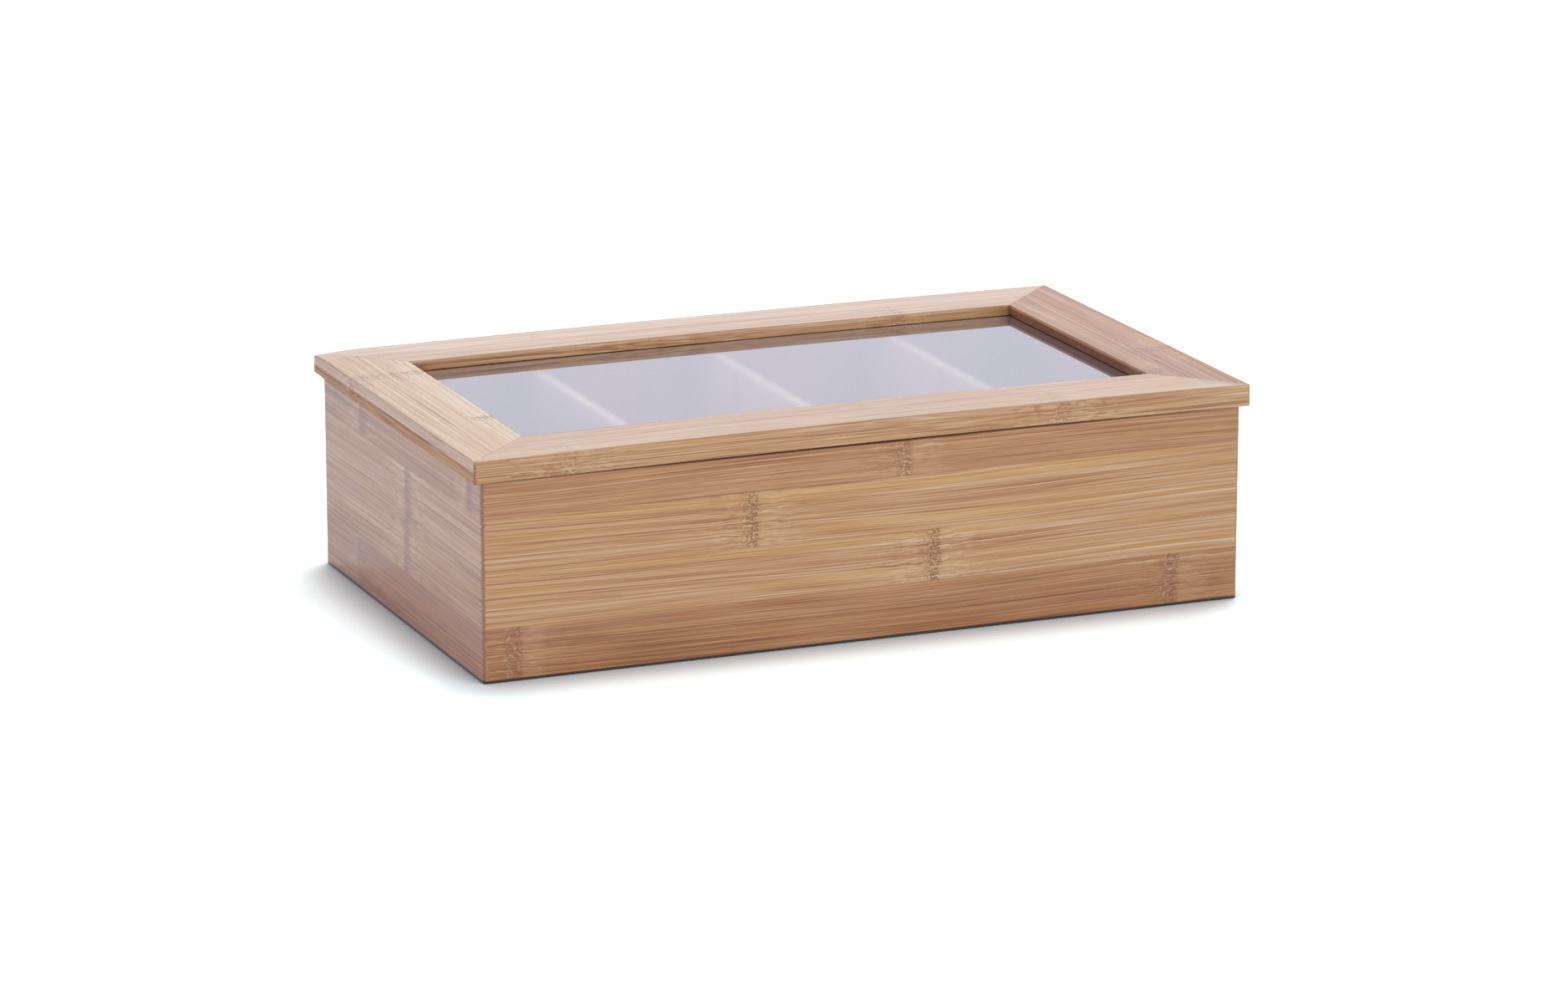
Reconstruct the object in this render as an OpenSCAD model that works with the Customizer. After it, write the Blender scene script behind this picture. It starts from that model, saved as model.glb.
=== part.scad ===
// Bamboo tea bag organizer box: mitred board box with four compartments,
// under a hinged lid of four mitred rails around a clear window.
// Units are millimetres. The origin is at the centre of the footprint on the table,
// +X runs along the front, +Y to the hinged side and +Z up.

/* [Box] */
// Outer length of the box, along the front
body_l = 323; // [240:1:420]
// Outer depth of the box, front to back
body_d = 192; // [150:1:260]
// Height of the four boards
body_h = 80; // [60:1:120]
// Thickness of the boards
wall_t = 6; // [5.5:0.5:9]
// Radius of the upright outer corners of the box
corner_r = 2; // [1:0.5:4]
// Radius that eases the long edges of the boards
board_edge_r = 0.6; // [0.3:0.1:1.2]

/* [Floor] */
// Thickness of the floor panel
floor_t = 3; // [2:0.5:5]
// Height of the floor panel's underside above the table
floor_lift = 3; // [2:0.5:8]
// Depth of the groove that holds the floor panel
floor_groove = 3; // [2:0.5:4]
// Room left for the floor panel at the bottom of its groove
floor_play = 0.3; // [0.1:0.1:0.6]

/* [Dividers] */
// Thickness of each divider
divider_t = 5; // [3:0.5:8]
// Distance of the dividers' top edges below the rim
divider_drop = 1.6; // [0:0.2:10]
// Depth of the slots that hold the dividers' ends
slot_depth = 2; // [1:0.5:3]
// Room left at each end of a divider, inside its slot
slot_play = 0.2; // [0.1:0.1:0.5]

/* [Lid] */
// Thickness of the lid rails
lid_t = 9; // [8.5:0.5:14]
// Width of the lid rails, seen from above
rail_w = 31; // [20:0.5:45]
// How far the lid reaches past each end of the box
overhang_side = 3.5; // [1:0.5:8]
// How far the lid reaches past the front of the box
overhang_front = 2; // [1:0.5:8]
// How far the lid reaches past the back, where its edge stops the opened lid
overhang_back = 2; // [1.6:0.1:2.2]
// Gap between the closed lid and the rim of the box
lid_gap = 1; // [0.4:0.1:1.2]
// Radius of the lid's upright corners
lid_corner_r = 1.5; // [1:0.5:5]
// Radius of the lid's upper outer edge
lid_edge_r = 1.2; // [0.5:0.1:2]
// Radius that eases the other long edges of the rails
rail_edge_r = 0.5; // [0.3:0.1:0.8]

/* [Window] */
// Thickness of the clear pane
pane_t = 2; // [1.5:0.1:3]
// Thickness of the rail's lip above the pane
pane_lip = 4.3; // [3:0.1:4.5]
// Depth of the groove that holds the pane
pane_groove = 5; // [3:0.5:8]
// Room above the pane in its groove, seen as a dark line
pane_play = 0.3; // [0.1:0.1:0.5]
// Room left for the pane at the bottom of its groove
pane_end_play = 0.5; // [0.2:0.1:1]

/* [Hinges] */
// Length of each hinge
hinge_l = 30; // [24:1:45]
// Distance from the end of the box to the middle of a hinge
hinge_inset = 55; // [35:1:80]
// Thickness of the hinge's sheet metal
leaf_t = 0.8; // [0.6:0.1:1]
// Radius of the hinge pin
pin_r = 0.75; // [0.5:0.05:0.9]
// Running clearance of the pin in the lid's knuckles, on the radius
pin_clearance = 0.05; // [0.02:0.01:0.1]
// Drive fit of the pin in the box's knuckles, on the radius
pin_press = 0.01; // [0.005:0.005:0.02]
// Gap between neighbouring knuckles
knuckle_gap = 0.2; // [0.1:0.05:0.4]
// Distance of the hinge pin behind the back of the box
pin_offset = 0.1; // [0.1:0.05:0.3]
// Clearance around the knuckles in the wood
notch_clearance = 0.2; // [0.1:0.05:0.4]
// Wood left between the hinge leaf and the inner face of the back board
leaf_margin = 0.8; // [0.6:0.1:1]

/* [Screws] */
// Length of a hinge screw
screw_l = 6.5; // [5:0.5:7]
// Radius of the screw's countersunk head
screw_head_r = 1.4; // [1.2:0.1:1.5]
// Radius of the screw over its thread
screw_r = 0.8; // [0.6:0.05:0.9]
// Depth of the thread
thread_depth = 0.25; // [0.15:0.05:0.3]
// Distance from one turn of the thread to the next
thread_pitch = 0.8; // [0.6:0.1:1]
// Clearance of the screw in the hinge leaf, on the radius
screw_clearance = 0.1; // [0.05:0.05:0.2]
// Distance of a screw from the end of its hinge leaf
screw_inset = 6.5; // [4:0.5:8]

/* [Hidden] */

$fn = 48;
over = 1; // how far cutting shapes run past the face they cut

// Box
compartments = 4;
knuckles = 5;
inner_l = body_l - 2 * wall_t;
inner_d = body_d - 2 * wall_t;
back_y = body_d / 2;
floor_z = floor_lift + floor_t;
divider_pitch = (inner_l + divider_t) / compartments;
divider_h = body_h - divider_drop - floor_z;

// Lid, whose middle may lie off the middle of the box
lid_l = body_l + 2 * overhang_side;
lid_d = body_d + overhang_front + overhang_back;
lid_y = (overhang_back - overhang_front) / 2;
lid_z = body_h + lid_gap;
pane_slot_h = pane_t + pane_play;
pane_z = lid_z + lid_t - pane_lip - pane_slot_h;

// Hinge: its pin runs along X, and its leaves lie in from the pin towards the front
hinge_x = body_l / 2 - hinge_inset;
pin_y = back_y + pin_offset;
pin_z = body_h + lid_gap / 2;
knuckle_r = pin_r + pin_clearance + leaf_t;
notch_r = knuckle_r + notch_clearance;
leaf_w = wall_t + pin_offset - leaf_margin;
leaf_edge = notch_r;
screw_y = (leaf_w + leaf_edge) / 2;
screw_x = hinge_l / 2 - screw_inset;
knuckle_l = hinge_l / knuckles;
screw_neck = screw_head_r - screw_r;
core_r = screw_r - thread_depth;

// Plan outlines

// Rectangle centred on the origin with round corners
module rounded_plan(l, d, r) {
    square([l - 2 * r, d], center = true);
    square([l, d - 2 * r], center = true);
    for (x = [-1, 1], y = [-1, 1])
        translate([x * (l / 2 - r), y * (d / 2 - r)]) circle(r);
}

// Keeps the part of a bar that lies between the two 45 degree mitres of a frame.
// The bar's outer face is at y = -d / 2, and the frame is l long there.
module mitred(l, d, w, h) {
    reach = w + over;
    intersection() {
        children();
        linear_extrude(h)
            polygon([[-l / 2 - over, -d / 2 - over], [l / 2 + over, -d / 2 - over],
                     [l / 2 - reach, -d / 2 + reach], [-l / 2 + reach, -d / 2 + reach]]);
    }
}

// Sections across a bar, from its outer face at 0 to its inner face at w

// What is cut away at a section's lower left corner to round it
module corner_waste(r) {
    difference() {
        translate([-over, -over]) square(r + over);
        translate([r, r]) circle(r);
    }
}

// Rectangle with rounded corners, outer ones first: lower, upper, inner lower, inner upper
module eased_section(w, h, r) {
    difference() {
        square([w, h]);
        corner_waste(r[0]);
        translate([0, h]) mirror([0, 1]) corner_waste(r[1]);
        translate([w, 0]) mirror([1, 0]) corner_waste(r[2]);
        translate([w, h]) mirror([1, 0]) mirror([0, 1]) corner_waste(r[3]);
    }
}

// Runs a section along X, with its outer face at y = -d / 2
module bar(l, d) {
    translate([0, -d / 2, 0])
        rotate([90, 0, 90]) linear_extrude(l, center = true) children();
}

// Box

// One board of the box as it stands at the front, l long and d / 2 from the middle
module board(l, d) {
    e = board_edge_r;
    mitred(l, d, wall_t, body_h)
        bar(l, d) eased_section(wall_t, body_h, [e, e, e, e]);
}

module body_outline() {
    translate([0, 0, -over])
        linear_extrude(body_h + 2 * over) rounded_plan(body_l, body_d, corner_r);
}

// The groove for the floor panel, all round the box
module floor_slot() {
    translate([0, 0, floor_lift + floor_t / 2])
        cube([inner_l + 2 * floor_groove, inner_d + 2 * floor_groove, floor_t], center = true);
}

// The slots in the front and back boards that the dividers stand in
module divider_slots() {
    slot_l = inner_d + 2 * slot_depth;
    for (i = [-1, 0, 1])
        translate([i * divider_pitch, 0, floor_z + (body_h + over - floor_z) / 2])
            cube([divider_t, slot_l, body_h + over - floor_z], center = true);
}

module front_board() {
    color("burlywood")
        difference() {
            intersection() {
                board(body_l, body_d);
                body_outline();
            }
            floor_slot();
            divider_slots();
        }
}

module back_board() {
    color("burlywood")
        difference() {
            intersection() {
                rotate(180) board(body_l, body_d);
                body_outline();
            }
            floor_slot();
            divider_slots();
            for (side = [-1, 1])
                at_hinge(side) hinge_seat(-1);
        }
}

// side is -1 for the left board and 1 for the right one
module side_board(side) {
    color("burlywood")
        difference() {
            intersection() {
                rotate(side * 90) board(body_d, body_l);
                body_outline();
            }
            floor_slot();
        }
}

module floor_panel() {
    edge = 2 * (floor_groove - floor_play);
    color("wheat")
        translate([0, 0, floor_lift + floor_t / 2])
            cube([inner_l + edge, inner_d + edge, floor_t], center = true);
}

// i is -1, 0 or 1, from left to right
module divider(i) {
    e = board_edge_r;
    l = inner_d + 2 * (slot_depth - slot_play);
    color("wheat")
        translate([i * divider_pitch, 0, floor_z])
            rotate([90, 0, 0]) linear_extrude(l, center = true)
                translate([-divider_t / 2, 0]) eased_section(divider_t, divider_h, [e, e, e, e]);
}

// Lid

// One rail of the lid as it lies at the front of the lid, grooved for the pane
module rail(l, d) {
    e = rail_edge_r;
    mitred(l, d, rail_w, lid_t)
        bar(l, d)
            difference() {
                eased_section(rail_w, lid_t, [e, lid_edge_r, e, e]);
                translate([rail_w - pane_groove, pane_z - lid_z])
                    square([pane_groove + over, pane_slot_h]);
            }
}

module lid_outline() {
    translate([0, 0, -over])
        linear_extrude(lid_t + 2 * over) rounded_plan(lid_l, lid_d, lid_corner_r);
}

// turn is the rail's place round the lid: 0 front, 90 right, 180 back, -90 left
module lid_rail(turn) {
    along_x = turn == 0 || turn == 180;
    color("tan")
        difference() {
            translate([0, lid_y, lid_z])
                intersection() {
                    rotate(turn) rail(along_x ? lid_l : lid_d, along_x ? lid_d : lid_l);
                    lid_outline();
                }
            if (turn == 180)
                for (side = [-1, 1])
                    at_hinge(side) hinge_seat(1);
        }
}

module window_pane() {
    edge = 2 * (pane_groove - pane_end_play - rail_w);
    color([0.85, 0.9, 0.95, 0.35])
        translate([0, lid_y, pane_z + pane_t / 2])
            cube([lid_l + edge, lid_d + edge, pane_t], center = true);
}

// Hinges

// Puts its children on the pin of the left (-1) or right (1) hinge
module at_hinge(side) {
    translate([side * hinge_x, pin_y, pin_z]) children();
}

// Turns a piece made for the box's side of a hinge (-1) over to the lid's side (1)
module on_side(z) {
    if (z > 0) mirror([0, 0, 1]) children();
    else children();
}

// A cylinder along X, centred at x
module rod(r, l, x = 0) {
    translate([x, 0, 0]) rotate([0, 90, 0]) cylinder(r = r, h = l, center = true);
}

// What the hinge takes out of the wood: the leaf's recess, the room for the
// knuckles, open to the back, and the pilot holes
module hinge_seat(z) {
    reach = max(overhang_back, pin_offset) + over;
    on_side(z) {
        translate([-hinge_l / 2, -leaf_w, -lid_gap / 2 - leaf_t])
            cube([hinge_l, leaf_w, leaf_t + lid_gap / 2]);
        translate([-hinge_l / 2 - notch_clearance, -notch_r, -notch_r])
            cube([hinge_l + 2 * notch_clearance, notch_r + reach, notch_r]);
        at_screws() pilot_hole();
    }
}

// The places of the screws in the box's leaf, at the face that takes their heads
module at_screws() {
    for (x = [-1, 1])
        translate([x * screw_x, -screw_y, -lid_gap / 2]) children();
}

// Middle of a knuckle, which are numbered from the left
function knuckle_x(i) = (i + 0.5) * knuckle_l - hinge_l / 2;

// One leaf with its rolled knuckles: z is -1 for the box's leaf and 1 for the lid's.
// The box's leaf has the knuckles at both ends and the middle, the lid's has the others.
module hinge_leaf(z) {
    first = z < 0 ? 0 : 1;
    bore_r = z < 0 ? pin_r - pin_press : pin_r + pin_clearance;
    color("silver")
        on_side(z)
            difference() {
                union() {
                    translate([-hinge_l / 2, -leaf_w, -lid_gap / 2 - leaf_t])
                        cube([hinge_l, leaf_w - leaf_edge, leaf_t]);
                    for (i = [first:2:knuckles - 1]) {
                        rod(knuckle_r, knuckle_l - knuckle_gap, knuckle_x(i));
                        translate([knuckle_x(i) - (knuckle_l - knuckle_gap) / 2,
                                   -leaf_edge - leaf_t, -lid_gap / 2 - leaf_t])
                            cube([knuckle_l - knuckle_gap, leaf_edge + leaf_t, leaf_t]);
                    }
                }
                rod(bore_r, hinge_l + 2 * over);
                at_screws() screw_head_seat();
            }
}

module hinge_pin() {
    color("gray") rod(pin_r, hinge_l - knuckle_gap);
}

// Screws, which point down from the origin, where the top of the head lies

// The hole in the leaf, with the cone that the head bears on
module screw_head_seat() {
    hole_r = screw_r + screw_clearance;
    cone_h = screw_head_r - hole_r;
    translate([0, 0, -leaf_t - over]) cylinder(r = hole_r, h = leaf_t + 2 * over);
    translate([0, 0, -cone_h]) cylinder(r1 = hole_r, r2 = screw_head_r, h = cone_h);
    cylinder(r = screw_head_r, h = over);
}

// The pilot hole is between the thread's core and its crest, so the thread bites
module pilot_hole() {
    translate([0, 0, -screw_l]) cylinder(r = (core_r + screw_r) / 2, h = screw_l);
}

// Half the outline of the screw: head, neck, thread and point
function screw_outline() =
    let (neck_l = leaf_t + 0.2, point_l = 2 * core_r, threaded = screw_l - neck_l - point_l)
    let (turns = floor(threaded / thread_pitch), start = neck_l + threaded - turns * thread_pitch)
    concat([[0, 0], [screw_head_r, 0], [screw_r, -screw_neck], [screw_r, -start]],
           [for (i = [0:turns - 1]) each [
               [core_r, -start - (i + 0.3) * thread_pitch],
               [core_r, -start - (i + 0.6) * thread_pitch],
               [screw_r, -start - (i + 0.95) * thread_pitch]]],
           [[core_r, -screw_l + point_l], [0, -screw_l]]);

module screw() {
    recess = screw_head_r * 0.55;
    slot_w = screw_head_r * 0.25;
    difference() {
        rotate_extrude() polygon(screw_outline());
        for (turn = [0, 90])
            rotate(turn)
                translate([-recess, -slot_w / 2, -screw_neck * 0.7])
                    cube([2 * recess, slot_w, screw_neck + over]);
    }
}

module hinge_screws(z) {
    color("lightgray") on_side(z) at_screws() screw();
}

front_board();
back_board();
side_board(-1);  // left_board
side_board(1);  // right_board
floor_panel();
divider(-1);  // divider_left
divider(0);  // divider_middle
divider(1);  // divider_right
lid_rail(0);  // lid_front_rail
lid_rail(180);  // lid_back_rail
lid_rail(-90);  // lid_left_rail
lid_rail(90);  // lid_right_rail
window_pane();
at_hinge(-1) hinge_leaf(-1);  // hinge_left_box_leaf
at_hinge(-1) hinge_leaf(1);  // hinge_left_lid_leaf
at_hinge(-1) hinge_pin();  // hinge_left_pin
at_hinge(1) hinge_leaf(-1);  // hinge_right_box_leaf
at_hinge(1) hinge_leaf(1);  // hinge_right_lid_leaf
at_hinge(1) hinge_pin();  // hinge_right_pin
at_hinge(-1) hinge_screws(-1);  // hinge_left_box_screws
at_hinge(-1) hinge_screws(1);  // hinge_left_lid_screws
at_hinge(1) hinge_screws(-1);  // hinge_right_box_screws
at_hinge(1) hinge_screws(1);  // hinge_right_lid_screws
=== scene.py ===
"""The looks of a bamboo tea bag organizer box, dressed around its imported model."""
import math

import bmesh
import bpy
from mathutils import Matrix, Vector


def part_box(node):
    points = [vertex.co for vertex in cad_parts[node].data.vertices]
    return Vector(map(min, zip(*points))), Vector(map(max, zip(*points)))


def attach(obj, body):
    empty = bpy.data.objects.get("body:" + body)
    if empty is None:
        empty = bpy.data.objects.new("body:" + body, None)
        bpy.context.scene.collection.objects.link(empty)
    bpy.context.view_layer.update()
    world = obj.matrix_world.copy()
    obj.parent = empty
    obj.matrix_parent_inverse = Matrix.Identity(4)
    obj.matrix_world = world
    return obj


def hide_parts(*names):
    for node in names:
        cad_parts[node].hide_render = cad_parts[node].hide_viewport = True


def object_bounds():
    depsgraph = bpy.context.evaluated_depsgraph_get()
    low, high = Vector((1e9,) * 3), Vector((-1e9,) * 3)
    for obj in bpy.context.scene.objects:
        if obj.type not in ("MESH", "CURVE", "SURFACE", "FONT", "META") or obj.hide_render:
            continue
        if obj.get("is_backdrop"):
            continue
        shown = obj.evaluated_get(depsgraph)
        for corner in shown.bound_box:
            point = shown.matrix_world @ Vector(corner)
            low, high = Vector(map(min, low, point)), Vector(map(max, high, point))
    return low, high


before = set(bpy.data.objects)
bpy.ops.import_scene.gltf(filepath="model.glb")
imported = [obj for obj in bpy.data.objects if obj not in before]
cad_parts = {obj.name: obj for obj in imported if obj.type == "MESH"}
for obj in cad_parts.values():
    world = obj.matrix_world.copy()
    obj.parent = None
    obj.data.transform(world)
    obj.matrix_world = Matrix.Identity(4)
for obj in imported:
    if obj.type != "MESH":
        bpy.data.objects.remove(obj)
cad_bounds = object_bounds()

MM = 0.001

# Sizes taken from the frame, in millimetres
LID_LOW, LID_HIGH = (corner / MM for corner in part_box("lid_front_rail"))
RAIL_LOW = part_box("lid_left_rail")[0] / MM
BOX_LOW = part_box("front_board")[0] / MM
SIDE_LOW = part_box("left_board")[0] / MM
BOX_HALF = Vector((-SIDE_LOW.x, -BOX_LOW.y))
LID_HALF = Vector((-RAIL_LOW.x, -LID_LOW.y))
RAIL_W = LID_HIGH.y - LID_LOW.y

# How far the closed lid has warped, in millimetres: its corners sink towards the box,
# and its middle stays up
CORNER_SINK = 0.95
FRONT_BOW = 0.95
BACK_BOW = 0.6

# From here to the back, in millimetres, the hinges hold more and more of the lid's underside
HELD_FROM = LID_HALF.y - 24.0
HELD_TO = LID_HALF.y - 8.0

# The lid's left back corner has been sanded down by so many mm, over so many mm around it
SANDED_OFF = 1.2
SANDED_OVER = 20.0

# The pieces of the lid are cut across in so many places before they are warped and sanded,
# and an edge that turns by more than this stays sharp
WARP_CUTS = 32
SANDING_CUTS = 6
SHARP_EDGE = math.radians(32)

# Points this close in metres are one point, and a point this close to a cut lies on it
SAME_POINT = 0.001 * MM
ON_THE_CUT = 1e-7

# The camera stands where the photograph was taken from
CAMERA_AT = Vector((-0.9094, -2.2060, 0.6637))
CAMERA_AZIMUTH = math.radians(-22.472)
CAMERA_ELEVATION = math.radians(14.726)
CAMERA_LENS = 139.19
CAMERA_SENSOR = 36.0
CAMERA_REACH = 30.0


class Graph:
    """A material or world under construction. Most methods add a node and return its output."""

    def __init__(self, owner, output="ShaderNodeOutputMaterial"):
        self.owner = owner
        owner.use_nodes = True
        self.tree = owner.node_tree
        self.tree.nodes.clear()
        self.output = self.tree.nodes.new(output)

    def node(self, kind, inputs=None, **settings):
        made = self.tree.nodes.new(kind)
        for key, value in settings.items():
            setattr(made, key, value)
        for key, value in (inputs or {}).items():
            self.feed(made.inputs[key], value)
        return made

    def feed(self, socket, value):
        if isinstance(value, bpy.types.NodeSocket):
            self.tree.links.new(value, socket)
        else:
            socket.default_value = value

    def math(self, operation, a, b=0.0, c=0.0):
        return self.node("ShaderNodeMath", {0: a, 1: b, 2: c}, operation=operation).outputs[0]

    def add(self, a, b):
        return self.math("ADD", a, b)

    def subtract(self, a, b):
        return self.math("SUBTRACT", a, b)

    def times(self, a, b):
        return self.math("MULTIPLY", a, b)

    def step(self, value, low, high):
        """A smooth step from 0 at low to 1 at high, or down if low is above high."""
        up = low < high
        ends = (low, high, 0.0, 1.0) if up else (high, low, 1.0, 0.0)
        inputs = dict(zip(("From Min", "From Max", "To Min", "To Max"), ends))
        made = self.node("ShaderNodeMapRange", {"Value": value, **inputs})
        made.interpolation_type = "SMOOTHSTEP"
        return made.outputs["Result"]

    def mix(self, factor, a, b):
        return self.node("ShaderNodeMix", {0: factor, 6: a, 7: b}, data_type="RGBA").outputs[2]

    def noise(self, vector, detail=2.0, roughness=0.5):
        inputs = {"Vector": vector, "Scale": 1.0, "Detail": detail, "Roughness": roughness}
        return self.node("ShaderNodeTexNoise", inputs).outputs["Fac"]

    def ramp(self, value, stops, interpolation="LINEAR"):
        made = self.node("ShaderNodeValToRGB", {"Fac": value})
        ramp = made.color_ramp
        ramp.interpolation = interpolation
        while len(ramp.elements) < len(stops):
            ramp.elements.new(1.0)
        for element, (place, colour) in zip(ramp.elements, stops):
            element.position = place
            element.color = colour
        return made.outputs

    def separate(self, colour):
        return self.node("ShaderNodeSeparateColor", {0: colour}).outputs

    def place(self):
        """Where the point is in the object, which is where it is in the frame, in metres."""
        return self.node("ShaderNodeTexCoord").outputs["Object"]

    def axes_of(self, vector):
        return self.node("ShaderNodeSeparateXYZ", {0: vector}).outputs

    def background(self, colour, strength=1.0):
        inputs = {"Color": colour, "Strength": strength}
        return self.node("ShaderNodeBackground", inputs).outputs[0]

    def mix_shaders(self, factor, a, b):
        return self.node("ShaderNodeMixShader", {0: factor, 1: a, 2: b}).outputs[0]

    def seen_directly(self):
        """1 for a ray from the camera or through a clear surface, and 0 for one that lights."""
        path = self.node("ShaderNodeLightPath").outputs
        return self.math("MAXIMUM", path["Is Camera Ray"], path["Is Transmission Ray"])

    def finish(self, shader):
        self.tree.links.new(shader, self.output.inputs["Surface"])
        return self.owner


def new_material(name):
    return Graph(bpy.data.materials.new(name))


def srgb(red, green, blue):
    """A colour as a picture shows it, from 0 to 255, as the linear colour of a shader."""
    def linear(value):
        value /= 255
        return value / 12.92 if value <= 0.04045 else ((value + 0.055) / 1.055) ** 2.4

    return (linear(red), linear(green), linear(blue), 1.0)


# Bamboo

# From the darkest fibre to the palest one
FIBRE_COLOURS = (
    (0.00, srgb(102, 58, 20)),
    (0.25, srgb(142, 93, 44)),
    (0.42, srgb(165, 117, 68)),
    (0.58, srgb(184, 139, 91)),
    (0.76, srgb(200, 164, 122)),
    (1.00, srgb(222, 200, 170)),
)
RED_FIBRE = srgb(162, 106, 80)
GOLD_FIBRE = srgb(200, 154, 88)
MAUVE = srgb(132, 88, 68)
PALE_SPECK = srgb(224, 190, 140)
PALE_BARK = srgb(214, 180, 138)
SPECK = srgb(120, 72, 36)
SEAM = srgb(112, 74, 54)
# Painted shade for rounded edges, which reads as a little wear too
EDGE_SHADE = srgb(132, 98, 76)
# Painted contact shadow along the edge that stands on the table
CONTACT_SHADOW_COLOUR = srgb(34, 28, 24)

# The longest cane from joint to joint, how ragged the edge of a joint is, how far the fibres
# drift along a board, and how far they swerve beside a joint, all in mm
LONGEST_CANE = 400.0
RAGGED = 3.5
DRIFT = 7.0
SWERVE = 2.0

# Strips that differ in looks take their grain from places this far apart
APART_BY_PALE = 911.0
APART_BY_RED = 577.0

# A glue line and a mitre are dark in their middle and gone at this many mm from it
GLUE_LINE = 0.26
MITRE_LINE = 0.7

# The edge that stands on the table carries a painted contact shadow. It fades between these
# heights in mm.
CONTACT_SHADOW_FADES = 1.10
CONTACT_SHADOW_ENDS = 1.40

# The step at each height where the wood turns darker is blurred by this many mm up and down
BAND_BLUR = 0.15


class Strip:
    """One glued strip of bamboo: its width in mm, how pale and how red it is (0 to 1), the
    place in mm along the grain of a joint of its cane, how dark and how pale the specks of
    that joint are (0 to 1), and the mm from joint to joint."""

    def __init__(self, width, pale, red, joint, dark=0.7, light=0.4, cane=LONGEST_CANE):
        self.width = width
        self.looks = (pale, red, dark, light)
        self.cane = (joint / LONGEST_CANE + 0.5, cane / LONGEST_CANE, 0.0, 1.0)


class Grain:
    """The place of a point in a board of strips, in mm, and the noises that follow its fibres."""

    def __init__(self, g, axes, start, strips, seed):
        self.g = g
        scale = {0: g.place(), "Scale": 1 / MM}
        self.at = g.axes_of(g.node("ShaderNodeVectorMath", scale, operation="SCALE").outputs[0])
        self.along, self.across, self.through = (self.at[axis] for axis in axes)
        self.unbent = self.across

        total = sum(strip.width for strip in strips)
        looks, canes, self.edges, reached = [], [], [], 0.0
        for strip in strips:
            looks.append((reached / total, strip.looks))
            canes.append((reached / total, strip.cane))
            reached += strip.width
            self.edges.append(start + reached)
        del self.edges[-1]
        place = g.math("DIVIDE", g.subtract(self.across, start), total)
        look = g.ramp(place, looks, "CONSTANT")
        self.pale, self.red, self.dark = g.separate(look["Color"])
        self.light = look["Alpha"]
        joint, cane, _ = g.separate(g.ramp(place, canes, "CONSTANT")["Color"])
        half_cane = g.times(cane, LONGEST_CANE / 2)
        joint_at = g.times(g.subtract(joint, 0.5), LONGEST_CANE)
        from_joint = g.subtract(self.along, joint_at)
        past = g.math("WRAP", from_joint, half_cane, g.times(half_cane, -1.0))

        # Each strip has a grain of its own
        by_red = g.add(g.times(self.red, APART_BY_RED), seed)
        self.own = g.add(g.times(self.pale, APART_BY_PALE), by_red)
        ragged = g.times(g.subtract(self.noise(4.0, 1.8), 0.5), RAGGED)
        self.past = g.add(past, ragged)
        # 1 at a joint, and 0 at some 30 mm from it
        self.near = g.times(g.step(past, -34.0, -6.0), g.step(past, 30.0, 4.0))

        # Fibres drift a little along the board and swerve beside a joint
        drift = g.times(g.subtract(self.noise(240.0, 30.0), 0.5), DRIFT)
        swerve = g.times(g.subtract(self.noise(7.0, 2.8), 0.5), g.times(self.near, SWERVE))
        self.across = g.add(self.across, g.add(drift, swerve))

    def noise(self, length, width, detail=1.0, roughness=0.5):
        """Noise stretched along the fibres. Length and width are the mm of its features."""
        g = self.g
        vector = g.node("ShaderNodeCombineXYZ", {
            0: g.math("DIVIDE", g.add(self.along, self.own), length),
            1: g.math("DIVIDE", g.add(self.across, self.own), width),
            2: g.math("DIVIDE", self.through, width),
        }).outputs[0]
        return g.noise(vector, detail, roughness)

    def hairlines(self, length, apart, half_width):
        """1 on thin lines along the fibres, at about the given mm apart, and 0 elsewhere."""
        g = self.g
        off = g.math("ABSOLUTE", g.subtract(self.noise(length, apart), 0.5))
        return g.step(off, half_width, 0.0)


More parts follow.
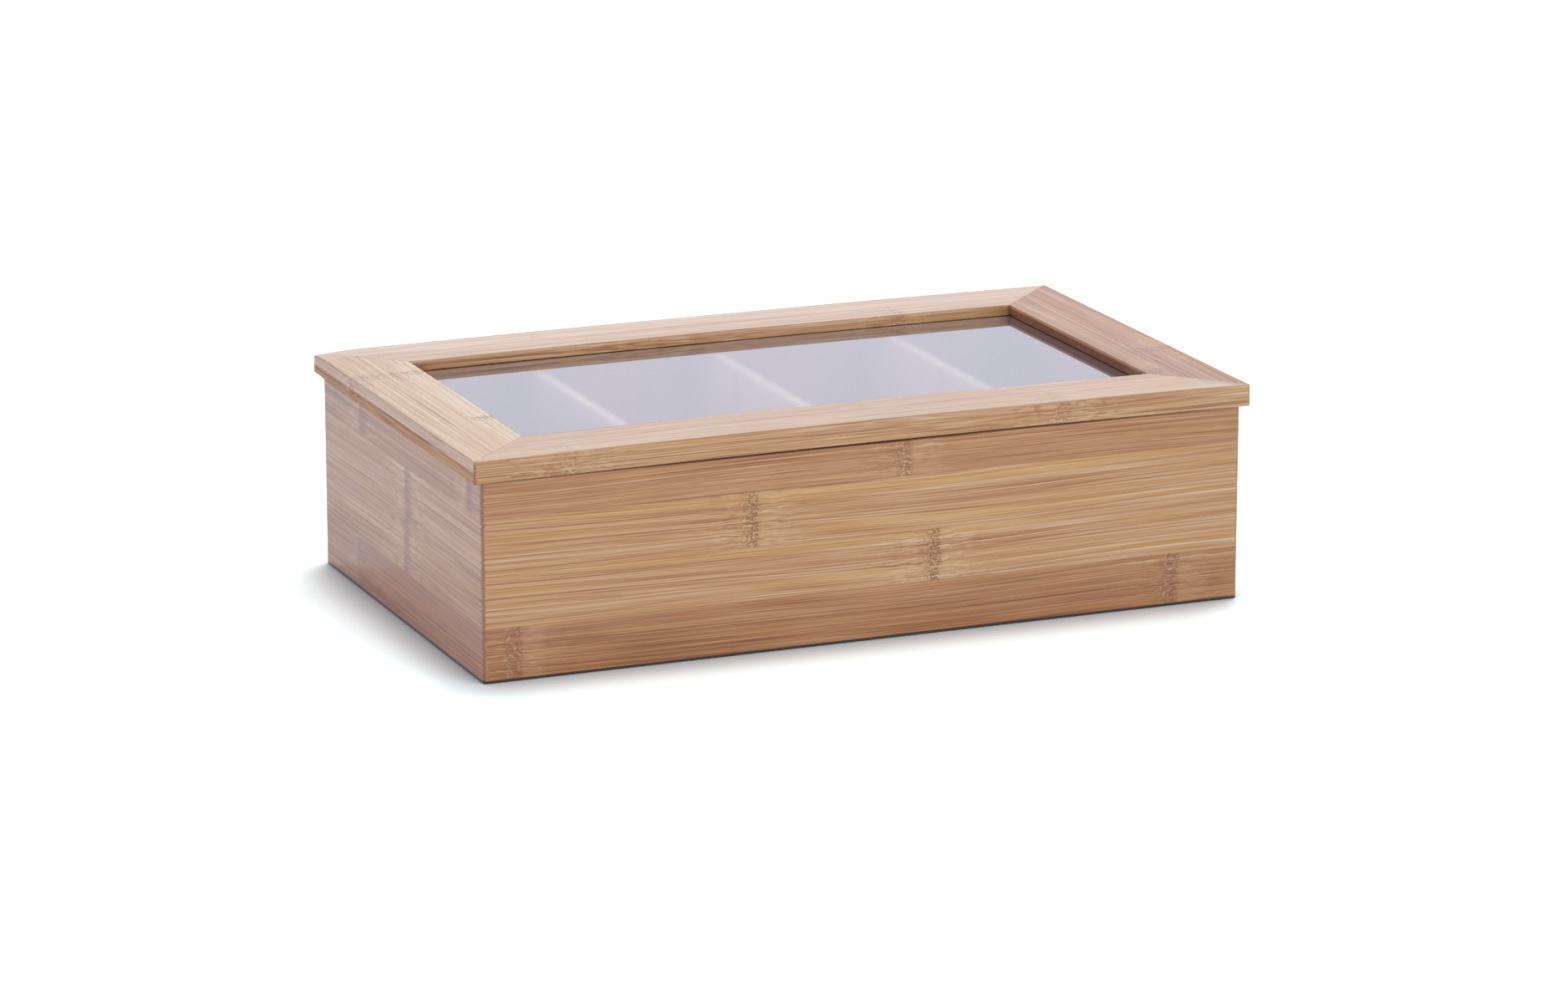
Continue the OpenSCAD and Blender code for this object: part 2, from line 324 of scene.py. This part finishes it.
def bamboo(name, axes, start, strips, seam=None, plies_and_shade=(), contrast=1.0, coat=0.2, seed=0.0):
    """Bamboo glued up from strips. axes gives the object's axes along the grain, across the
    strips and through them, and start is the strips' first edge in mm. seam is the half size
    in mm of a frame of boards, which is dark where its mitres meet. Each entry of plies gives a
    height in mm, how much darker the wood is painted below it, mostly as painted shade on side
    faces, and how much more raw it is there. contrast is how much its fibres differ, and coat
    how glossy its varnish is."""
    g = new_material(name)
    grain = Grain(g, ["XYZ".index(axis) for axis in axes], start, strips, seed)

    # Fibres: broad bands, long lines, fine lines, threads, then short dashes and dabs that
    # crowd round a joint, and clouds that are strongest on red strips
    lines = grain.noise(110.0, 1.2, 2.0, 0.65)
    fine = grain.noise(60.0, 0.5, 1.0)
    dashes = grain.noise(7.0, 0.7)
    knotty = g.times(grain.near, grain.dark)
    streaks = 0.0
    for layer, weight in (
        (grain.noise(180.0, 6.5, 2.0), 0.17),
        (lines, 0.30),
        (fine, 0.56),
        (grain.noise(38.0, 0.28, 0.0), 0.42),
        (dashes, g.math("MULTIPLY_ADD", knotty, 1.00, 0.12)),
        (grain.noise(2.6, 3.4), g.times(knotty, 0.30)),
        (grain.noise(28.0, 9.0, 1.0), g.math("MULTIPLY_ADD", grain.red, 0.3, 0.08)),
    ):
        streaks = g.add(streaks, g.times(g.subtract(layer, 0.5), weight))
    # Vascular bundles are hairlines that run on for long, some dark and some pale
    dark_bundles = grain.hairlines(length=260.0, apart=0.9, half_width=0.06)
    pale_bundles = grain.hairlines(length=310.0, apart=1.5, half_width=0.06)
    streaks = g.subtract(streaks, g.times(dark_bundles, 0.34))
    streaks = g.add(streaks, g.times(pale_bundles, 0.20))
    streaks = g.subtract(streaks, g.times(g.step(grain.noise(90.0, 0.7), 0.60, 0.70), 0.16))
    # The redder a strip, the more its fibres differ
    contrast = g.math("MULTIPLY_ADD", grain.red, 0.2 * contrast, 0.8 * contrast)
    tone = g.add(grain.pale, g.times(streaks, contrast))
    # Below each height the wood is painted darker, mostly as shade on side faces, and made more
    # raw
    raw = 0.0
    for height, darker, rawer in plies_and_shade:
        below = g.step(grain.at[2], height + BAND_BLUR, height - BAND_BLUR)
        tone = g.subtract(tone, g.times(below, darker))
        raw = g.add(raw, g.times(below, rawer))

    colour = g.ramp(tone, FIBRE_COLOURS)["Color"]
    red_lines = g.step(grain.noise(150.0, 2.4, 1.0), 0.52, 0.72)
    red_lines = g.times(red_lines, g.math("MULTIPLY_ADD", grain.red, 0.7, 0.06))
    red_part = g.math("MULTIPLY_ADD", grain.red, 0.52, red_lines)
    colour = g.mix(red_part, colour, RED_FIBRE)
    gold_part = g.step(grain.noise(180.0, 4.2), 0.50, 0.74)
    gold_part = g.times(gold_part, g.math("MULTIPLY_ADD", grain.red, -0.45, 0.37))
    colour = g.mix(gold_part, colour, GOLD_FIBRE)

    # The joint: a band of dark and pale specks, which ends sharply. Its steps are in mm past
    # the joint.
    band = g.times(g.step(grain.past, -9.0, -1.5), g.step(grain.past, 1.6, 0.4))
    speck_noise = g.add(grain.noise(1.0, 0.8, 1.0), g.times(band, 0.06))
    specks = g.times(g.step(speck_noise, 0.53, 0.60), g.times(band, grain.dark))
    blush = g.times(g.step(grain.past, -10.0, -2.5), g.step(grain.past, 4.0, 0.5))
    blush = g.times(blush, g.times(grain.dark, g.math("MULTIPLY_ADD", grain.red, 0.9, 0.05)))
    colour = g.mix(blush, colour, MAUVE)
    glints = g.times(g.step(grain.noise(1.6, 0.9), 0.55, 0.64), g.times(band, grain.light))
    colour = g.mix(glints, colour, PALE_SPECK)
    colour = g.mix(specks, colour, SPECK)
    calm = g.times(g.step(grain.past, 1.0, 2.5), g.step(grain.past, 20.0, 5.0))
    colour = g.mix(g.times(calm, 0.14), colour, PALE_BARK)

    # Glue lines between strips, and the mitre where two boards meet
    marks = []
    worn = g.math("MULTIPLY_ADD", g.step(grain.noise(50.0, 30.0), 0.35, 0.65), 0.3, 0.12)
    for edge in grain.edges:
        off = g.math("ABSOLUTE", g.subtract(grain.unbent, edge))
        marks.append(g.times(g.step(off, GLUE_LINE, 0.04), worn))
    if seam is not None:
        from_end = g.subtract(seam.x, g.math("ABSOLUTE", grain.at[0]))
        from_side = g.subtract(seam.y, g.math("ABSOLUTE", grain.at[1]))
        off = g.math("ABSOLUTE", g.subtract(from_end, from_side))
        marks.append(g.times(g.step(off, MITRE_LINE, 0.15), 0.45))
    mark = marks[0]
    for other in marks[1:]:
        mark = g.math("MAXIMUM", mark, other)
    colour = g.mix(mark, colour, SEAM)

    # Rounded edges get painted shade, which also reads as a little wear, and the edge that stands
    # on the table gets a painted contact shadow
    facing = g.node("ShaderNodeTexCoord").outputs["Normal"]
    facing = g.node("ShaderNodeVectorMath", {0: facing}, operation="ABSOLUTE").outputs[0]
    x, y, z = g.axes_of(facing)
    squarest = g.math("MAXIMUM", g.math("MAXIMUM", x, y), z)
    colour = g.mix(g.times(g.step(squarest, 0.98, 0.85), 0.5), colour, EDGE_SHADE)
    # Painted contact shadow along the edge that stands on the table
    contact_shade = g.times(g.step(grain.at[2], CONTACT_SHADOW_ENDS, CONTACT_SHADOW_FADES), 0.95)
    colour = g.mix(contact_shade, colour, CONTACT_SHADOW_COLOUR)

    # Relief in mm: open fibres, specks and glue lines lie a little lower
    relief = g.add(g.times(fine, 0.03), g.times(lines, 0.03))
    relief = g.subtract(relief, g.add(g.times(specks, 0.05), g.times(mark, 0.08)))
    bump = g.node("ShaderNodeBump", {"Height": relief, "Strength": 0.5, "Distance": MM})
    roughness = g.math("MULTIPLY_ADD", g.subtract(fine, 0.5), 0.3, 0.36)
    return g.finish(g.node("ShaderNodeBsdfPrincipled", {
        "Base Color": colour,
        "Roughness": g.math("MULTIPLY_ADD", raw, 0.55, roughness) if plies_and_shade else roughness,
        "IOR": 1.5,
        "Coat Weight": g.math("MULTIPLY_ADD", raw, -coat, coat) if plies_and_shade else coat,
        "Coat Roughness": 0.22,
        "Normal": bump.outputs[0],
    }).outputs[0])


# Metal, window and floor

# How bright tarnished plating is beside clean plating
TARNISHED = 0.78

# The pane bends and mirrors more than plain glass, as it does in the photograph. It tints what
# is seen through it, and a little less the light that passes, and its haze is faint and blue.
PANE_IOR = 1.9
PANE_BLUR = 0.11
PANE_TINT = (0.945, 0.95, 0.96, 1.0)
PANE_LIGHT_TINT = (0.95, 0.96, 0.97, 1.0)
PANE_HAZE = 0.045
HAZE_COLOUR = (0.80, 0.84, 1.0, 1.0)

# The floor's colour as it lights, in gloss, and as it is seen. Where it is seen, a painted
# shadow darkens it by so much within so far of what stands on it.
FLOOR_LIGHTING = (0.6, 0.6, 0.6, 1.0)
FLOOR_IN_GLOSS = (1.12, 1.14, 1.22, 1.0)
FLOOR_SEEN = (1.25, 1.33, 1.27, 1.0)
PAINTED_SHADOW_REACH = 20.0 * MM
PAINTED_SHADOW_DEPTH = 0.8


def plated_steel(name, colour, roughness):
    """Thin plating over rolled sheet, with faint rolling lines along X."""
    g = new_material(name)
    where = g.place()
    lines = g.node("ShaderNodeMapping", {"Vector": where, "Scale": (300.0, 5000.0, 5000.0)})
    scratch = g.noise(lines.outputs[0], 3.0, 0.6)
    cloud = g.node("ShaderNodeMapping", {"Vector": where, "Scale": (400.0, 400.0, 400.0)})
    tarnish = g.noise(cloud.outputs[0], 2.0)
    dull = tuple(channel * TARNISHED for channel in colour[:3]) + (1.0,)
    bump = g.node("ShaderNodeBump", {"Height": scratch, "Strength": 0.25, "Distance": 0.02 * MM})
    return g.finish(g.node("ShaderNodeBsdfPrincipled", {
        "Base Color": g.mix(g.step(tarnish, 0.42, 0.7), colour, dull),
        "Metallic": 1.0,
        "Roughness": g.math("MULTIPLY_ADD", scratch, 0.2, roughness - 0.1),
        "Normal": bump.outputs[0],
    }).outputs[0])


def clear_pane(name):
    """A clear sheet with a faint haze. Its front face mirrors for both its faces. It bends
    what is seen through it, and light passes straight."""
    g = new_material(name)
    one_face = g.node("ShaderNodeFresnel", {"IOR": PANE_IOR}).outputs[0]
    both_faces = g.math("DIVIDE", g.times(one_face, 2.0), g.add(one_face, 1.0))
    front = g.subtract(1.0, g.node("ShaderNodeNewGeometry").outputs["Backfacing"])
    smudge = g.noise(g.place(), 2.0)
    mirror = g.node("ShaderNodeBsdfAnisotropic", {
        "Color": (1.0, 1.0, 1.0, 1.0),
        "Roughness": g.math("MULTIPLY_ADD", smudge, 0.02, 0.02),
    }).outputs[0]
    bending = {"Color": PANE_TINT, "Roughness": PANE_BLUR, "IOR": PANE_IOR}
    bent = g.node("ShaderNodeBsdfRefraction", bending).outputs[0]
    clear = g.node("ShaderNodeBsdfTransparent", {"Color": PANE_LIGHT_TINT}).outputs[0]
    path = g.node("ShaderNodeLightPath").outputs
    lighting = g.math("MAXIMUM", path["Is Shadow Ray"], path["Is Diffuse Ray"])
    through = g.mix_shaders(lighting, bent, clear)
    haze = g.node("ShaderNodeBsdfDiffuse", {"Color": HAZE_COLOUR}).outputs[0]
    sheet = g.mix_shaders(g.times(both_faces, front), through, mirror)
    return g.finish(g.mix_shaders(g.times(front, PANE_HAZE), sheet, haze))


def floor_material():
    """A white floor: pale for the light it gives, and white where it is seen. Where it is
    seen, a painted shadow darkens it towards what stands on it."""
    g = new_material("floor")
    gloss = g.node("ShaderNodeLightPath").outputs["Is Glossy Ray"]
    painted_shadow = {"Color": FLOOR_SEEN, "Distance": PAINTED_SHADOW_REACH}
    painted_shadow = g.node("ShaderNodeAmbientOcclusion", painted_shadow).outputs[0]
    shown = g.mix(PAINTED_SHADOW_DEPTH, FLOOR_SEEN, painted_shadow)
    colour = g.mix(gloss, FLOOR_LIGHTING, FLOOR_IN_GLOSS)
    colour = g.mix(g.seen_directly(), colour, shown)
    return g.finish(g.node("ShaderNodeBsdfDiffuse", {"Color": colour}).outputs[0])


# Shapes


def bowed(place):
    """How far the warped lid lies above the straight one at that place, in metres."""
    x, y, z = place / MM
    to_front = 0.5 - 0.5 * y / LID_HALF.y
    bow = BACK_BOW + (FRONT_BOW - BACK_BOW) * to_front
    rise = bow * (1 - (x / LID_HALF.x) ** 2) - CORNER_SINK
    held = min(1.0, max(0.0, (y - HELD_FROM) / (HELD_TO - HELD_FROM)))
    up = (z - LID_LOW.z) / (LID_HIGH.z - LID_LOW.z)
    return rise * (1 - held * (1 - up)) * MM


def cut_across(work, axis, places):
    """Adds a ring of edges at each place along the axis."""
    for place in places:
        point, normal = Vector(), Vector()
        point[axis] = place
        normal[axis] = 1.0
        everything = work.verts[:] + work.edges[:] + work.faces[:]
        plane = {"plane_co": point, "plane_no": normal, "dist": ON_THE_CUT}
        bmesh.ops.bisect_plane(work, geom=everything, **plane)


def warped_copy(node):
    """A lid piece in place of that node: its mesh cut up, warped, and sanded at the corner."""
    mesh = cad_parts[node].data.copy()
    piece = bpy.data.objects.new(node + "_warped", mesh)
    bpy.context.scene.collection.objects.link(piece)
    work = bmesh.new()
    work.from_mesh(mesh)
    bmesh.ops.remove_doubles(work, verts=work.verts, dist=SAME_POINT)
    reach = LID_HALF.x * MM
    corner = Vector((-LID_HALF.x, LID_HALF.y)) * MM
    nearer = [(i / SANDING_CUTS) ** 1.5 for i in range(1, SANDING_CUTS + 1)]
    steps = [SANDED_OVER * MM * share for share in nearer]
    cut_across(work, 0, [reach * (2 * i / WARP_CUTS - 1) for i in range(1, WARP_CUTS)])
    cut_across(work, 0, [corner.x + step for step in steps])
    cut_across(work, 1, [corner.y - step for step in steps])
    cut_across(work, 1, [HELD_FROM * MM, HELD_TO * MM])
    low, high = LID_LOW.z * MM, LID_HIGH.z * MM
    for v in work.verts:
        near = max(0.0, 1.0 - (v.co.xy - corner).length / (SANDED_OVER * MM))
        sanded = SANDED_OFF * MM * near ** 2 * (v.co.z - low) / (high - low)
        v.co.z += bowed(v.co) - sanded
    for face in work.faces:
        face.smooth = True
    work.to_mesh(mesh)
    work.free()
    mesh.set_sharp_from_angle(angle=SHARP_EDGE)
    piece.modifiers.new("flat faces stay flat", "WEIGHTED_NORMAL").keep_sharp = True
    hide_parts(node)
    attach(piece, "lid")
    return piece


def dress(piece, material):
    piece.data.materials.clear()
    piece.data.materials.append(material)


# The pieces and their finish

# The boards of the box, each with its strips from the lowest up
BOARDS = {
    "front_board": dict(axes="XZY", seed=11.0, contrast=0.95, strips=(
        Strip(21.7, 0.42, 0.37, 133.0, 0.5, 0.4, 280.0),
        Strip(21.0, 0.61, 0.06, 29.0, 0.8, 0.3),
        Strip(22.7, 0.60, 0.04, -48.2, 0.75, 0.5),
        Strip(21.9, 0.51, 0.29, 16.5, 0.5, 0.6),
    )),
    "back_board": dict(axes="XZY", seed=233.0, contrast=0.95, strips=(
        Strip(21.7, 0.50, 0.22, -92.0, 0.6, 0.4, 270.0),
        Strip(21.0, 0.62, 0.10, 64.0, 0.7, 0.3),
        Strip(22.7, 0.52, 0.20, -20.0, 0.4, 0.5),
        Strip(21.9, 0.64, 0.04, 118.0, 0.6, 0.3, 250.0),
    )),
    "left_board": dict(axes="YZX", seed=57.0, contrast=1.25, strips=(
        Strip(21.7, 0.38, 0.54, 53.0, 0.3, 0.2),
        Strip(21.0, 0.55, 0.34, -5.0, 0.8, 0.2),
        Strip(22.7, 0.55, 0.38, -7.0, 0.8, 0.1),
        Strip(21.9, 0.41, 0.43, 48.5, 0.8, 0.1, 129.0),
    )),
    "right_board": dict(axes="YZX", seed=341.0, contrast=1.25, strips=(
        Strip(21.7, 0.52, 0.20, -58.0, 0.6, 0.4),
        Strip(21.0, 0.58, 0.12, 22.0, 0.7, 0.3),
        Strip(22.7, 0.46, 0.32, 75.0, 0.4, 0.5),
        Strip(21.9, 0.62, 0.06, -30.0, 0.6, 0.3),
    )),
}
for name, looks in BOARDS.items():
    dress(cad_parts[name], bamboo(name, start=0.0, seam=BOX_HALF, **looks))

# The rails of the lid, each with its strips from the lowest X or Y up. Below a height just
# under their tops, their side faces are painted darker as shade. The left one is darker still
# in its lower half, a band that is partly a ply and partly painted shade.
SIDES_SHADED_BELOW = LID_HIGH.z - 1.9
LOWER_BAND_TOP = (LID_LOW.z + LID_HIGH.z) / 2 - 0.7
RAILS = {
    "lid_front_rail": dict(
        axes="XYZ", start=-LID_HALF.y, seed=73.0, contrast=1.1, coat=0.50,
        plies_and_shade=((SIDES_SHADED_BELOW, 0.12, 0.0),),
        strips=(
            Strip(16.0, 0.67, 0.02, -124.0, 0.25, 0.4, 208.0),
            Strip(15.0, 0.64, 0.16, 6.0, 0.2, 0.3),
        ),
    ),
    "lid_back_rail": dict(
        axes="XYZ", start=LID_HALF.y - RAIL_W, seed=149.0, contrast=1.1, coat=0.50,
        plies_and_shade=((SIDES_SHADED_BELOW, 0.12, 0.0),),
        strips=(
            Strip(15.0, 0.70, 0.10, 84.0, 0.25, 0.3, 240.0),
            Strip(16.0, 0.82, 0.01, -70.0, 0.2, 0.2),
        ),
    ),
    "lid_left_rail": dict(
        axes="YXZ", start=-LID_HALF.x, seed=191.0, contrast=1.1, coat=0.30,
        plies_and_shade=((SIDES_SHADED_BELOW, 0.20, 0.0), (LOWER_BAND_TOP, 0.18, 0.5)),
        strips=(
            Strip(22.5, 0.79, 0.07, 50.0, 0.5, 0.2),
            Strip(8.5, 0.82, 0.03, -32.0, 0.6, 0.3, 82.0),
        ),
    ),
    "lid_right_rail": dict(
        axes="YXZ", start=LID_HALF.x - RAIL_W, seed=277.0, contrast=1.30, coat=0.20,
        plies_and_shade=((SIDES_SHADED_BELOW, 0.50, 0.8),),
        strips=(
            Strip(11.0, 0.47, 0.38, -62.0, 0.45, 0.4),
            Strip(20.0, 0.46, 0.32, -26.0, 0.45, 0.3),
        ),
    ),
}
for name, looks in RAILS.items():
    material = bamboo(name, seam=LID_HALF, **looks)
    dress(warped_copy(name), material)

# The dividers stand on the floor panel, each with its joints in other places
FLOOR_TOP = 6.0
for i, name in enumerate(("divider_left", "divider_middle", "divider_right")):
    strips = (
        Strip(26.0, 0.62, 0.10, 30.0 - 40.0 * i),
        Strip(23.0, 0.56, 0.20, -50.0 + 35.0 * i),
        Strip(30.0, 0.90, 0.06, 70.0 - 30.0 * i),
    )
    material = bamboo(name, "YZX", FLOOR_TOP, strips, seed=400.0 + 31.0 * i)
    dress(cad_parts[name], material)

# The strips of the floor panel, from the front edge back, vary in no plain order
FLOOR_FRONT = -96.0
FLOOR_STRIPS = tuple(
    Strip(
        width=21.4,
        pale=0.5 + 0.14 * math.sin(2.3 * i),
        red=0.2 + 0.15 * math.sin(3.7 * i),
        joint=150.0 * math.sin(5.1 * i),
        cane=270.0,
    )
    for i in range(9)
)
material = bamboo("floor_panel", "XYZ", FLOOR_FRONT, FLOOR_STRIPS, seed=511.0)
dress(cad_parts["floor_panel"], material)

dress(warped_copy("window_pane"), clear_pane("clear_pane"))

hinge_steel = plated_steel("hinge_steel", (0.36, 0.34, 0.31, 1.0), 0.32)
screw_steel = plated_steel("screw_steel", (0.46, 0.44, 0.40, 1.0), 0.26)
for name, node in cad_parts.items():
    if name.endswith("screws"):
        dress(node, screw_steel)
    elif name.startswith("hinge"):
        dress(node, hinge_steel)


# Floor, light and camera

GROUND_SIZE = 20.0
bpy.ops.mesh.primitive_plane_add(size=GROUND_SIZE)
ground = bpy.context.object
ground.name = "ground"
dress(ground, floor_material())
ground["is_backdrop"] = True

# The room's colour as it lights, in gloss, and as it is seen
ROOM_LIGHTING = (0.94, 0.96, 1.0, 1.0)
ROOM_IN_GLOSS = (1.04, 1.045, 1.20, 1.0)
ROOM_SEEN = (1.0, 1.0, 1.0, 1.0)
ROOM_LIGHT = 0.35


def bright_room():
    """A white room: as bright as it looks in mirrors, but dimmer where it only lights."""
    room = Graph(bpy.data.worlds.new("room"), "ShaderNodeOutputWorld")
    seen = room.background(ROOM_SEEN)
    lighting = room.background(ROOM_LIGHTING, ROOM_LIGHT)
    in_gloss = room.background(ROOM_IN_GLOSS)
    gloss = room.node("ShaderNodeLightPath").outputs["Is Glossy Ray"]
    unseen = room.mix_shaders(gloss, lighting, in_gloss)
    return room.finish(room.mix_shaders(room.seen_directly(), unseen, seen))


bpy.context.scene.world = bright_room()


def softbox(name, towards, level, spread, colour):
    """Soft light from a direction, spread over so many degrees. It leaves no glare on glass or
    varnish. At level 1 it shows a white face turned to it as white."""
    lamp = bpy.data.lights.new(name, "SUN")
    lamp.color = colour
    lamp.energy = level * math.pi
    lamp.angle = math.radians(spread)
    holder = bpy.data.objects.new(name, lamp)
    holder.rotation_euler = Vector(towards).to_track_quat("Z", "Y").to_euler()
    holder.visible_glossy = False
    bpy.context.scene.collection.objects.link(holder)


# The brightest is above and a little behind, so the box's shadow falls to the front left
softbox("top_light", (0.18, 0.28, 0.94), level=0.575, spread=30.0, colour=(0.94, 1.0, 1.0))
softbox("front_light", (0.36, -0.88, 0.30), level=0.51, spread=50.0, colour=(0.98, 1.03, 1.12))
softbox("left_light", (-0.95, -0.25, 0.16), level=0.42, spread=60.0, colour=(0.95, 0.95, 1.40))

camera = bpy.data.cameras.new("camera")
camera.sensor_fit = "HORIZONTAL"
camera.sensor_width = CAMERA_SENSOR
camera.lens = CAMERA_LENS
camera.clip_end = CAMERA_REACH
eye = bpy.data.objects.new("camera", camera)
eye.location = CAMERA_AT
eye.rotation_euler = (math.pi / 2 - CAMERA_ELEVATION, 0.0, CAMERA_AZIMUTH)
bpy.context.scene.collection.objects.link(eye)
bpy.context.scene.camera = eye

bpy.context.scene.view_settings.view_transform = "Standard"

corners = {"cad": cad_bounds, "visual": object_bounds()}
{key: [list(corner) for corner in value] for key, value in corners.items()}
